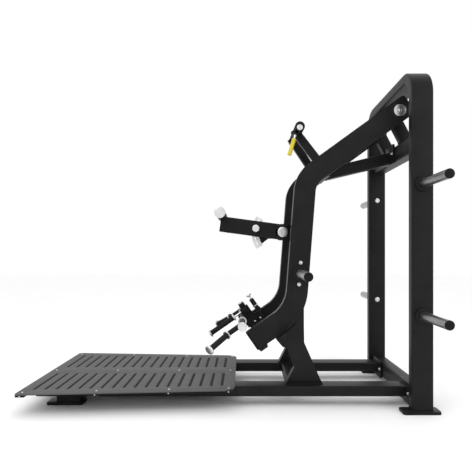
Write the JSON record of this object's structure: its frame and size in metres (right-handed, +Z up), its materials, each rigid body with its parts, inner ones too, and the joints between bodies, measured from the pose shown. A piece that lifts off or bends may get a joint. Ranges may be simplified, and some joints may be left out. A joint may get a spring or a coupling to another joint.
{
  "type": "standing hack squat machine",
  "caption": "Plate-loaded standing squat machine with a slotted platform, bent rear arch, twin swing arms, swivelling handle head and chest lever.",
  "frame": {"origin": "centre of the footprint on the floor", "axes": "+X from the platform towards the rear arch, +Y towards the user's left, +Z up"},
  "size_m": [2.338, 1.591, 1.927],
  "materials": {
    "black_steel": "satin powder coat",
    "grey_deck": "matte textured coat",
    "chrome_steel": "polished",
    "sleeve_steel": "turned, satin",
    "black_rubber": "matte, fine ribbed",
    "black_plastic": "matte",
    "yellow_grip": "satin"
  },
  "bodies": {
    "frame": {"rear_arch": "black_steel", "rear_feet": "black_steel", "upper_cross_tube": "black_steel", "lower_cross_tube": "black_steel", "right_base_rail": "black_steel", "left_base_rail": "black_steel", "rail_flanges": "black_steel", "flange_bolts": "chrome_steel", "rail_end_plugs": "black_plastic", "front_feet": "black_steel", "deck": "grey_deck", "deck_bearers": "black_steel", "deck_screws": "chrome_steel", "right_stand": "black_steel", "left_stand": "black_steel", "stand_pads": "black_rubber", "stand_cross_tube": "black_steel", "storage_horn_upper_right": "sleeve_steel", "storage_horn_upper_left": "sleeve_steel", "storage_horn_lower_right": "sleeve_steel", "storage_horn_lower_left": "sleeve_steel", "storage_collars": "black_steel", "storage_caps": "black_plastic", "storage_bolts": "chrome_steel", "pivot_struts": "black_steel", "pivot_housing": "black_steel", "pivot_bearings": "chrome_steel", "thrust_washers": "black_plastic", "handle_beam": "black_steel", "handle_fork": "black_steel", "top_handlebar": "black_rubber", "handlebar_bolts": "chrome_steel"},
    "arms": {"right_arm": "black_steel", "left_arm": "black_steel", "arm_hubs": "black_steel", "pivot_shaft": "chrome_steel", "pivot_caps": "chrome_steel", "arm_end_pads": "black_rubber", "arm_cross_tubes": "black_steel", "load_horn_right": "sleeve_steel", "load_horn_left": "sleeve_steel", "load_fittings": "black_steel", "load_bolts": "chrome_steel", "lever_bracket": "black_steel", "lever_index_plate": "chrome_steel", "lever_pivot_bolt": "chrome_steel", "head_bracket": "black_steel", "head_index_plate": "black_steel", "head_post": "chrome_steel"},
    "lever": {"chest_lever": "black_steel", "chest_bar": "black_rubber", "chest_bar_caps": "chrome_steel"},
    "lever_lock": {"lever_pin": "chrome_steel"},
    "head": {"head_body": "black_steel", "head_rod": "chrome_steel", "head_grips": "black_rubber", "head_trim": "chrome_steel"},
    "head_lock": {"head_pin": "chrome_steel"},
    "release": {"release_arm": "black_steel", "release_grip": "yellow_grip"}
  },
  "joints": [
    {"name": "arm_swing", "type": "hinge", "parent": "frame", "child": "arms", "pos_m": [0.998, 0, 1.728], "axis": [0, 1, 0], "range_deg": [0, 50]},
    {"name": "lever_adjust", "type": "hinge", "parent": "arms", "child": "lever", "pos_m": [0.332, 0, 1.023], "axis": [0, 1, 0], "range_deg": [-31.5, 21]},
    {"name": "lever_pin_lock", "type": "slide", "parent": "lever", "child": "lever_lock", "axis": [0, 1, 0], "range_m": [0, 0.008]},
    {"name": "head_swivel", "type": "hinge", "parent": "arms", "child": "head", "pos_m": [0.10178, 0, 0.49993], "axis": [-0.5693, 0, 0.8221], "range_deg": [-30, 30]},
    {"name": "head_pin_lock", "type": "slide", "parent": "head", "child": "head_lock", "axis": [0.5693, 0, -0.8221], "range_m": [0, 0.008]},
    {"name": "release_pull", "type": "hinge", "parent": "frame", "child": "release", "pos_m": [0.419, -0.217, 1.647], "axis": [0, 1, 0], "range_deg": [0, 25], "stiffness_Nm_per_rad": 1.5}
  ]
}
